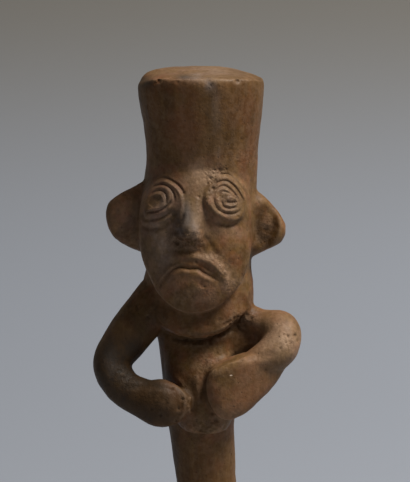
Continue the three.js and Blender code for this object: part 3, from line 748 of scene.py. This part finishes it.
# Tints over the figure's front, partly the clay's own colour and partly painted light and shade: x, z, half
# width, half height and share. Where it is calm, the clay is less mottled.
tints = {
    # Paler clay, and painted light on the forehead, the nose's ridge, the upper lip's ridge and the figure's
    # right cheek
    "pale": [
        [-1.8, 126, 3.4, 5, 0.9], [3.6, 126.6, 3, 2, 0.5], [7, 119, 7, 8, 0.32], [-12, 106, 4, 7, 0.4],
        [3, 110, 3, 1.8, 0.5], [10, 109, 3, 1.6, 0.35], [1.2, 102.8, 3.5, 1.4, 0.65],
        [5, 100.2, 2.4, 1.8, 0.5], [7.4, 96.4, 1.8, 2.6, 0.55], [0, 93, 8, 5, 0.3],
        [0.2, 114.6, 1.6, 4, 0.3], [9, 57.4, 5, 3, 0.22], [1, 53, 7, 3.6, 0.3], [5, 42, 5, 12, 0.1],
        [9.5, 94, 3.5, 2, 0.4], [23, 76.6, 7, 6, 1.05], [15, 66, 9, 7, 0.2], [0.8, 70.8, 5, 4, 0.15],
        [-5.6, 141, 1, 12, 0.1], [-11.6, 109, 2.4, 1.6, 0.45], [8, 156, 9, 1.6, 0.5],
        [-6, 156.6, 4, 1, 0.5], [-1.4, 114, 1.8, 5, 0.6], [17.6, 140, 0.8, 14, 0.25], [19, 82, 6, 2, 0.4],
    ],
    # Grey ash, and painted light: a highlight along the nose's ridge and the figure's right cheek made
    # brighter
    "ashAndLight": [
        [-4.1, 115.6, 1.1, 3.6, 0.85], [-2, 112.4, 1.6, 4, 0.4], [-6.4, 114.6, 1.5, 3.2, 0.15],
        [-6.5, 110.5, 1.6, 2, 0.3], [-1.6, 155.2, 1.6, 2, 0.3], [2, 156.4, 20, 2.4, 0.16],
        [2.2, 152.4, 1, 1.6, 0.5], [3.8, 146, 0.7, 7, 0.4], [5, 137, 0.6, 7, 0.35], [-11, 118, 6, 8, 0.28],
        [7, 119, 7, 8, 0.08], [-12, 104, 5, 8, 0.36], [-23, 112, 5, 7, 0.16], [-27, 70, 2, 5, 0.12],
    ],
    # Smoke-darkened clay, and painted shade on the figure's right arm, the tube's side under it, the nose's
    # shaded flank, the collar under the jaw and beside the right hand's end
    "smokeAndShade": [
        [-5.8, 113.6, 1.8, 5, 0.55], [-3.8, 112.6, 1.6, 3, 0.45], [-24, 68, 9, 13, 1.6],
        [-17, 60, 8, 7.5, 1.35], [2.6, 142, 3, 13, 0.3], [-9, 40, 4, 16, 0.75], [-11, 59, 6, 6, 0.15],
        [-14, 84, 5, 6, 0.5], [-5, 154.7, 2.8, 1, 0.8], [-16.8, 153, 3, 1.8, 1], [17.6, 153, 2, 1.2, 0.5],
        [0, 156, 20, 3, 0.2], [-3.4, 62.4, 2, 2.4, 0.7], [-3.9, 63, 1.3, 1.6, 0.4], [-1.6, 63.6, 3, 4, 0.3],
    ],
    "calm": [
        [13, 64, 10, 9, 0.6], [-20, 66, 12, 13, 0.8], [0, 86, 16, 4, 0.4], [0, 157, 40, 3, 0.5],
    ],
    "ruddy": [
        [-12, 154, 5, 4, 1], [-4.4, 60, 1.8, 6, 0.8], [20, 83.6, 6, 1.6, 0.8], [5.8, 107.2, 3.6, 3, 1],
        [14, 63, 9, 7, 0.6], [-3, 80, 12, 3, 0.5], [14.6, 77, 4, 4, 0.8], [-16, 120, 4, 5, 0.3],
        [14.4, 140, 3.4, 13, 0.6], [-6, 141, 6, 11, 0.8], [11, 130, 5, 4, 0.6], [-9, 60, 7, 8, 1],
        [18.6, 108.6, 4, 7, 0.6], [-1, 92, 9, 5, 0.6], [12.4, 82.4, 5, 3, 0.7], [5, 40, 5, 12, 0.45],
    ],
    # Darker clay, and painted shade: under the collar and on it below the chin, on the hat's side to the
    # figure's right, under the nose and in its nostril, under the upper lip, in the mouth's corner, between
    # the nose and the figure's right eye, beside the right hand and on the figure's right forearm
    "dark": [
        [17.6, 109, 3.4, 6, 0.75], [14, 141, 7, 13, 0.48], [-11, 141, 1.8, 14, 0.3],
        [-2.6, 63.4, 4, 4.6, 0.8], [-4, 62.6, 2, 2.6, 0.5], [-16, 142, 4, 14, 0.5],
        [-6, 107.4, 2.4, 2.6, 0.7], [12.4, 82.4, 5, 2.2, 0.7], [7, 68.6, 6, 1.6, 0.4],
        [-10, 59, 8, 6, 0.75], [-17.4, 60.5, 4, 3.5, 0.6], [0, 76, 13, 1.8, 0.6], [0, 84, 20, 6, 0.42],
        [11, 89, 5, 3.5, 0.25], [-22, 104, 5, 5, 0.3], [-7.6, 108.4, 1.4, 2.6, 0.5],
        [2.6, 98.4, 1.8, 1.5, 0.2], [10, 101.6, 2.6, 3, 0.25], [-11, 99, 3, 2.4, 0.4],
        [-7, 117, 2, 7, 0.35], [12, 155.6, 6, 1.4, 0.4],
    ],
}


# Values over the surface for the material. The surface is evened out over a short and a long way, and how
# far a point then lies below or above it makes the masks groove, edge and hollow. They start and are full at
# the two depths, in mm.
# Groove and hollow darken the clay as painted shade in grooves and hollows, in the hollows partly dust; edge
# makes convex edges pale, partly rubbed clay and partly a painted highlight
reliefMasks = {
    "groove": {"rounds": 7, "depths": (0.015, 0.16)},
    "hollow": {"rounds": 60, "depths": (0.06, 0.6)},
}


def paintMasks(mesh):
    points, normals, edges = readPoints(mesh), readNormals(mesh), readEdges(mesh)
    x, y, z = points.T
    even = points.copy()
    masks = {}
    for name, relief in reliefMasks.items():
        for _ in range(relief["rounds"]):
            even += 0.6 * (aroundMean(even, edges) - even)
        below = np.einsum("ij,ij->i", even - points, normals)
        masks[name] = softStep(*relief["depths"], below)
        if name == "groove":
            # a pale line along the jaw's edge: partly rubbed clay, partly a painted highlight
            jaw, _ = fromLine(x, z, smoothPath(head["faceOutline"][6:16], np.linspace(0, 1, 60)))
            jawWearAndHighlight = 0.7 * np.exp(-((jaw / 0.5) ** 2)) * softStep(-9, -12, y)
            edge = np.maximum(softStep(*relief["depths"], -below), jawWearAndHighlight)
            masks["edge"] = edge * (1 - 0.9 * bell(x, z, 1, 50, 10, 2.4))  # hardly on the belly's lower lip
    front = softStep(-0.6, 0.1, -normals[:, 1])
    masks["rough"] = wornShare(x, z, normals)
    masks["top"] = softStep(153, 155, z)
    masks["burnished"] = softStep(127, 133, z) * (1 - masks["top"]) + 1 - softStep(40, 48, z)
    farTop = masks["top"] * softStep(-15, -2, y)  # where the narrow tints of the hat's top fade
    for name, spots in tints.items():
        spread = [share * bell(x, z, *spot) * (1 - farTop * (spot[2] < 6)) for *spot, share in spots]
        masks[name] = sum(spread) * front
    for name, values in masks.items():
        layer = mesh.attributes.new(name, "FLOAT", "POINT")
        layer.data.foreach_set("value", np.clip(values, 0, 1).astype(np.float32))


# The figurine: bodies fused, evened out, carved, masked, thinned and bored out, and put in the frame
def buildFigurine():
    piece = meshOf("clay_whistle", headBodies() + bodyBodies())
    useModifier(piece, "REMESH", mode="VOXEL", voxel_size=work["voxel"], adaptivity=0, use_smooth_shade=True)
    print("fused:", len(piece.data.polygons), "faces")
    evenOut(piece.data, work["evenOut"])
    fillJoins(piece.data, work["fill"])
    evenOut(piece.data, work["evenJoins"])
    evenTop(piece.data, work["hatEdge"], work["hatTop"])
    print("joins filled")
    refine(piece, onFace)
    cutFace(piece.data)
    workClay(piece.data)
    addPores(piece.data)
    paintMasks(piece.data)
    print("carved:", len(piece.data.polygons), "faces")
    free = piece.vertex_groups.new(name="free")
    points = readPoints(piece.data)
    held = onFace(points)
    free.add(np.flatnonzero(~held).tolist(), 1.0, "REPLACE")
    free.add(np.flatnonzero(held).tolist(), work["faceShare"], "REPLACE")
    triangles = sum(len(p.vertices) - 2 for p in piece.data.polygons)
    ratio = min(1.0, work["mostFaces"] / triangles)
    useModifier(piece, "DECIMATE", ratio=ratio, vertex_group="free", vertex_group_factor=1.0)
    piece.vertex_groups.clear()
    print("thinned from", triangles, "to", len(piece.data.polygons), "triangles")
    for number, rings in enumerate(hollowBodies()):
        cutter = meshOf(f"cutter{number}", [rings])
        useModifier(piece, "BOOLEAN", operation="DIFFERENCE", solver="MANIFOLD", object=cutter)
        bpy.data.objects.remove(cutter)
    print("bored out:", len(piece.data.polygons), "faces,", ", ".join(piece.data.attributes.keys()))
    points = readPoints(piece.data) + work["place"]
    writePoints(piece.data, points * 0.001)  # into metres
    piece.data.shade_smooth()
    piece.data.set_sharp_from_angle(angle=math.radians(work["sharpAngle"]))
    return piece


figurine = buildFigurine()
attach(figurine, "root")
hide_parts("whistle_figurine")


# A material with its node tree and shader
def newMaterial(name):
    material = bpy.data.materials.new(name)
    material.use_nodes = True
    return material, material.node_tree, material.node_tree.nodes["Principled BSDF"]


# A node group that puts out a mask, with its inputs by name and value
def newGroup(name, inputs):
    group = bpy.data.node_groups.new(name, "ShaderNodeTree")
    for label, value in inputs.items():
        socket = group.interface.new_socket(label, in_out="INPUT", socket_type="NodeSocketFloat")
        socket.default_value = value
    group.interface.new_socket("Mask", in_out="OUTPUT", socket_type="NodeSocketFloat")
    return group, group.nodes.new("NodeGroupInput"), group.nodes.new("NodeGroupOutput")


# A node with its settings. An input is given by its name, or by i and its number, as a value or a link.
def addNode(tree, kind, settings=None, **inputs):
    node = tree.nodes.new(kind)
    for name, value in (settings or {}).items():
        setattr(node, name, value)
    for name, value in inputs.items():
        socket = node.inputs[int(name[1:]) if name[0] == "i" else name]
        if isinstance(value, bpy.types.NodeSocket):
            tree.links.new(value, socket)
        else:
            socket.default_value = value
    return node


# Two colours mixed: the second's share is the factor
def mixColour(tree, factor, first, second):
    return addNode(tree, "ShaderNodeMix", {"data_type": "RGBA"}, i0=factor, i6=first, i7=second).outputs[2]


# A sum, difference, product or the like of two values
def calc(tree, operation, first, second, clamp=False):
    settings = {"operation": operation, "use_clamp": clamp}
    return addNode(tree, "ShaderNodeMath", settings, i0=first, i1=second).outputs[0]


# A soft step of a value between low and high, running from toLow to toHigh
def remap(tree, value, low, high, toLow=0.0, toHigh=1.0):
    settings = {"interpolation_type": "SMOOTHSTEP"}
    node = addNode(tree, "ShaderNodeMapRange", settings, i0=value, i1=low, i2=high, i3=toLow, i4=toHigh)
    return node.outputs[0]


# Clouds in the clay's colour at one size: a noise between 0 and 1 over Object coordinates
def makeClouds():
    group, given, made = newGroup("clayClouds", {"Size": 0.01, "Stretch": 1.0, "Contrast": 0.2})
    place = addNode(group, "ShaderNodeTexCoord").outputs["Object"]
    stretch = addNode(group, "ShaderNodeCombineXYZ", X=1.0, Y=1.0, Z=given.outputs["Stretch"]).outputs[0]
    placed = addNode(group, "ShaderNodeVectorMath", {"operation": "MULTIPLY"}, i0=place, i1=stretch)
    scale = calc(group, "DIVIDE", 1.0, given.outputs["Size"])
    noise = addNode(
        group, "ShaderNodeTexNoise", Vector=placed.outputs[0], Scale=scale, Detail=4.0, Roughness=0.6
    )
    low = calc(group, "SUBTRACT", 0.5, given.outputs["Contrast"])
    high = calc(group, "ADD", 0.5, given.outputs["Contrast"])
    group.links.new(remap(group, noise.outputs["Fac"], low, high), made.inputs["Mask"])
    return group


# Fine pits: the distance to random points, cut off at a share of their spacing
def makePits():
    group, given, made = newGroup("clayPits", {"Spacing": 0.002, "Width": 0.3})
    place = addNode(group, "ShaderNodeTexCoord").outputs["Object"]
    scale = calc(group, "DIVIDE", 1.0, given.outputs["Spacing"])
    cells = addNode(group, "ShaderNodeTexVoronoi", Vector=place, Scale=scale).outputs["Distance"]
    group.links.new(remap(group, cells, 0.0, given.outputs["Width"], 1.0, 0.0), made.inputs["Mask"])
    return group


# A group placed in a material with its own values
def useGroup(tree, group, **inputs):
    node = tree.nodes.new("ShaderNodeGroup")
    node.node_tree = group
    for name, value in inputs.items():
        node.inputs[name].default_value = value
    return node.outputs[0]


# The clay's colours, the clouds that mix them as size in metres, stretch along z and contrast, the place
# and size of the bright fleck on the left hand, and how the surface shines and is roughened
clayLook = {
    "brown": (0.152, 0.070, 0.015, 1), "dark": (0.058, 0.027, 0.007, 1), "light": (0.28, 0.145, 0.051, 1),
    "ruddy": (0.225, 0.080, 0.028, 1), "pale": (0.46, 0.30, 0.188, 1), "smokeAndShade": (0.036, 0.024, 0.014, 1),
    "ashAndLight": (0.31, 0.288, 0.28, 1), "ochre": (0.20, 0.115, 0.030, 1), "fleck": (0.78, 0.60, 0.45, 1),
    # The two colours below darken hollows and grooves: painted shade, in the hollows partly dust
    "dustAndShade": (0.10, 0.055, 0.024, 1), "recessShade": (0.026, 0.014, 0.007, 1),
    "clouds": {
        "broad": (0.030, 0.7, 0.16), "middling": (0.009, 0.8, 0.2), "patches": (0.0072, 0.8, 0.09),
        "spots": (0.0044, 1.0, 0.09), "stains": (0.0027, 0.8, 0.08), "streaks": (0.0016, 0.06, 0.22),
        "bands": (0.0042, 0.12, 0.14), "grain": (0.0009, 1.0, 0.2), "specks": (0.0019, 1.0, 0.12),
    },
    "pores": {"Spacing": 0.0022, "Width": 0.16},
    "fleckAt": (0.0098, -0.0190, 0.06805), "fleckSize": (0.00042, 0.004, 0.0002),
    "roughness": 0.44, "specular": 0.2, "bump": 0.6, "bumpDepth": 0.00012,
}


# Burnished clay: each layer mixes its colour over the ones before it by a mask over the surface
def makeBurnishedClay(clouds, pits):
    material, tree, shader = newMaterial("burnishedClay")
    look = clayLook
    mask = {
        name: addNode(tree, "ShaderNodeAttribute", {"attribute_name": name}).outputs["Fac"]
        for name in ("groove", "hollow", "edge", "rough", "burnished", "top", *tints)
    }
    cloud = {
        name: useGroup(tree, clouds, Size=size, Stretch=stretch, Contrast=contrast)
        for name, (size, stretch, contrast) in look["clouds"].items()
    }
    pores = useGroup(tree, pits, **look["pores"])
    plus = lambda first, second: calc(tree, "ADD", first, second)
    minus = lambda first, second: calc(tree, "SUBTRACT", first, second)
    times = lambda first, second: calc(tree, "MULTIPLY", first, second)
    level = lambda value, low, high: remap(tree, value, 0.0, 1.0, low, high)
    blotchy = lambda name, least: times(mask[name], level(cloud["patches"], least, 1.0))
    upright = minus(1.0, mask["top"])  # the burnishing strokes run up the sides only
    streaks, bands = times(cloud["streaks"], upright), times(cloud["bands"], upright)
    loose = level(calc(tree, "MAXIMUM", mask["burnished"], mask["calm"]), 1.0, 0.3)
    loose = times(loose, level(upright, 0.5, 1.0))  # how freely the clay is mottled
    specks = times(cloud["specks"], level(mask["rough"], 0.12, 0.38))
    place = addNode(tree, "ShaderNodeTexCoord").outputs["Object"]
    toFleck = addNode(
        tree, "ShaderNodeMapping", {"vector_type": "TEXTURE"},
        Vector=place, Location=look["fleckAt"], Scale=look["fleckSize"],
    ).outputs[0]
    gap = addNode(tree, "ShaderNodeVectorMath", {"operation": "LENGTH"}, i0=toFleck).outputs["Value"]
    layers = [
        (times(cloud["broad"], 0.45), "light"),
        (times(times(minus(1.0, cloud["middling"]), loose), 0.55), "dark"),
        (times(streaks, level(mask["burnished"], 0.2, 0.5)), "light"),
        (times(bands, level(mask["burnished"], 0.25, 0.6)), "dark"),
        (times(times(cloud["patches"], loose), 0.75), "ruddy"),
        (times(times(cloud["spots"], loose), 0.45), "ochre"),
        (times(times(cloud["stains"], loose), 0.42), "dark"),
        (times(blotchy("ruddy", 0.4), 0.8), "ruddy"),
        # paler clay, and painted light on the forehead, the nose's ridge, the upper lip's ridge and the
        # figure's right cheek
        (times(blotchy("pale", 0.5), 0.8), "pale"),
        # smoke-darkened clay, and painted shade on the figure's right arm and other shaded places
        (blotchy("smokeAndShade", 0.8), "smokeAndShade"),
        # grey ash, and painted light on the nose's ridge and the figure's right cheek
        (times(blotchy("ashAndLight", 0.5), 0.9), "ashAndLight"),
        # darker clay, and painted shade under the collar, the nose and the lip, beside the right hand and on
        # the figure's right forearm
        (times(mask["dark"], 0.8), "dark"),
        # convex edges and the jaw's edge made pale: partly rubbed clay, partly a painted highlight
        (times(mask["edge"], 0.35), "pale"),
        # hollows darkened: partly dust, partly painted shade
        (times(mask["hollow"], 0.35), "dustAndShade"),
        # grooves darkened: painted shade
        (times(mask["groove"], 0.35), "recessShade"),
        (times(specks, minus(1.0, mask["smokeAndShade"])), "pale"),
        (times(cloud["grain"], level(mask["rough"], 0.25, 0.6)), "dark"),
        # the fine pits darkened: painted shade inside them
        (times(pores, 0.5), "recessShade"),
        (remap(tree, gap, 0.7, 1.15, 1.0, 0.0), "fleck"),
    ]
    colour = look["brown"]
    for share, name in layers:
        colour = mixColour(tree, share, colour, look[name])
    tree.links.new(colour, shader.inputs["Base Color"])
    rough = plus(times(cloud["middling"], 0.12), times(mask["groove"], 0.2))
    rough = plus(rough, times(streaks, 0.1))
    tree.links.new(calc(tree, "ADD", rough, look["roughness"], clamp=True), shader.inputs["Roughness"])
    shader.inputs["Specular IOR Level"].default_value = look["specular"]
    height = plus(times(streaks, 0.5), times(cloud["grain"], level(mask["rough"], 0.5, 2.4)))
    height = minus(plus(height, times(specks, 3.0)), times(pores, 1.2))
    bump = addNode(tree, "ShaderNodeBump", Strength=look["bump"], Distance=look["bumpDepth"], Height=height)
    tree.links.new(bump.outputs[0], shader.inputs["Normal"])
    return material


figurine.data.materials.clear()
figurine.data.materials.append(makeBurnishedClay(makeClouds(), makePits()))
print("clay coloured")


# The camera, at the photograph's viewing angle: aim and distance in mm, the angle above level in degrees,
# lens and sensor in mm and the range it sees in metres
view = {
    "aim": (2.18, 1.59, 104.8), "distance": 560, "above": 8, "lens": 139.42, "sensor": 36, "clip": (0.01, 20),
}


def placeCamera():
    aim = Vector(view["aim"]) * 0.001
    above = math.radians(view["above"])
    toAim = Vector((0, math.cos(above), -math.sin(above)))
    camera = addObject("camera", bpy.data.cameras.new("camera"))
    camera.data.lens, camera.data.sensor_width = view["lens"], view["sensor"]
    camera.data.clip_start, camera.data.clip_end = view["clip"]
    camera.location = aim - toAim * view["distance"] * 0.001
    camera.rotation_euler = toAim.to_track_quat("-Z", "Y").to_euler()
    bpy.context.scene.camera = camera


# The studio: a floor that sweeps up into a backdrop and fades from its low to its high colour, and soft
# lights. A light is its place, what it looks at, its width and height in metres, its power in watts and its
# colour.
studio = {
    "halfWidth": 5, "near": -4, "bend": 0.2, "radius": 1.3, "top": 2.2,
    # the fade from the low colour to the high one is painted shade: the floor paler and bluer, the backdrop
    # darker as it rises
    "low": (0.275, 0.298, 0.345, 1), "high": (0.19, 0.18, 0.162, 1), "fadeTo": 0.19, "roughness": 0.8,
    "world": (0.52, 0.51, 0.50, 1), "worldStrength": 0.13,
    "lights": {
        "key": [(0.64, -0.20, 1.18), (0, 0, 0.08), 0.5, 0.5, 22, (1.0, 0.97, 0.92)],
        "over": [(0.10, 0.40, 1.1), (0, 0.1, 0.1), 0.6, 0.5, 2.0, (1.0, 0.98, 0.95)],
        "edge": [(-0.75, 0.55, 0.35), (0, 0, 0.1), 0.3, 0.5, 0.25, (1.0, 0.95, 0.86)],
    },
}


def buildStudio():
    s = studio
    angle = np.linspace(0, np.pi / 2, 33)
    profile = np.vstack([
        [[s["near"], 0]],
        np.stack([s["bend"] + s["radius"] * np.sin(angle), s["radius"] * (1 - np.cos(angle))], -1),
        [[s["bend"] + s["radius"], s["top"]]],
    ])
    points = [(side, y, z) for side in (-s["halfWidth"], s["halfWidth"]) for y, z in profile]
    n = len(profile)
    mesh = bpy.data.meshes.new("studioFloor")
    mesh.from_pydata(points, [], [(i, n + i, n + i + 1, i + 1) for i in range(n - 1)])
    mesh.shade_smooth()
    material, tree, shader = newMaterial("studioGrey")
    place = addNode(tree, "ShaderNodeTexCoord").outputs["Object"]
    rise = addNode(tree, "ShaderNodeSeparateXYZ", Vector=place).outputs["Z"]
    # painted shade: darker as the floor rises into the backdrop
    colour = mixColour(tree, remap(tree, rise, 0.0, s["fadeTo"]), s["low"], s["high"])
    tree.links.new(colour, shader.inputs["Base Color"])
    shader.inputs["Roughness"].default_value = s["roughness"]
    mesh.materials.append(material)
    addObject("studioFloor", mesh)
    for name, (place, aim, wide, tall, power, colour) in s["lights"].items():
        data = bpy.data.lights.new(name, "AREA")
        data.shape, data.size, data.size_y = "RECTANGLE", wide, tall
        data.energy, data.color = power, colour
        light = addObject(name, data)
        light.location = place
        light.rotation_euler = (Vector(aim) - Vector(place)).to_track_quat("-Z", "Y").to_euler()
    world = bpy.data.worlds.new("studio")
    world.use_nodes = True
    background = world.node_tree.nodes["Background"]
    background.inputs["Color"].default_value = s["world"]
    background.inputs["Strength"].default_value = s["worldStrength"]
    bpy.context.scene.world = world
    bpy.context.scene.view_settings.view_transform = "Standard"


placeCamera()
buildStudio()
print("camera and studio placed")
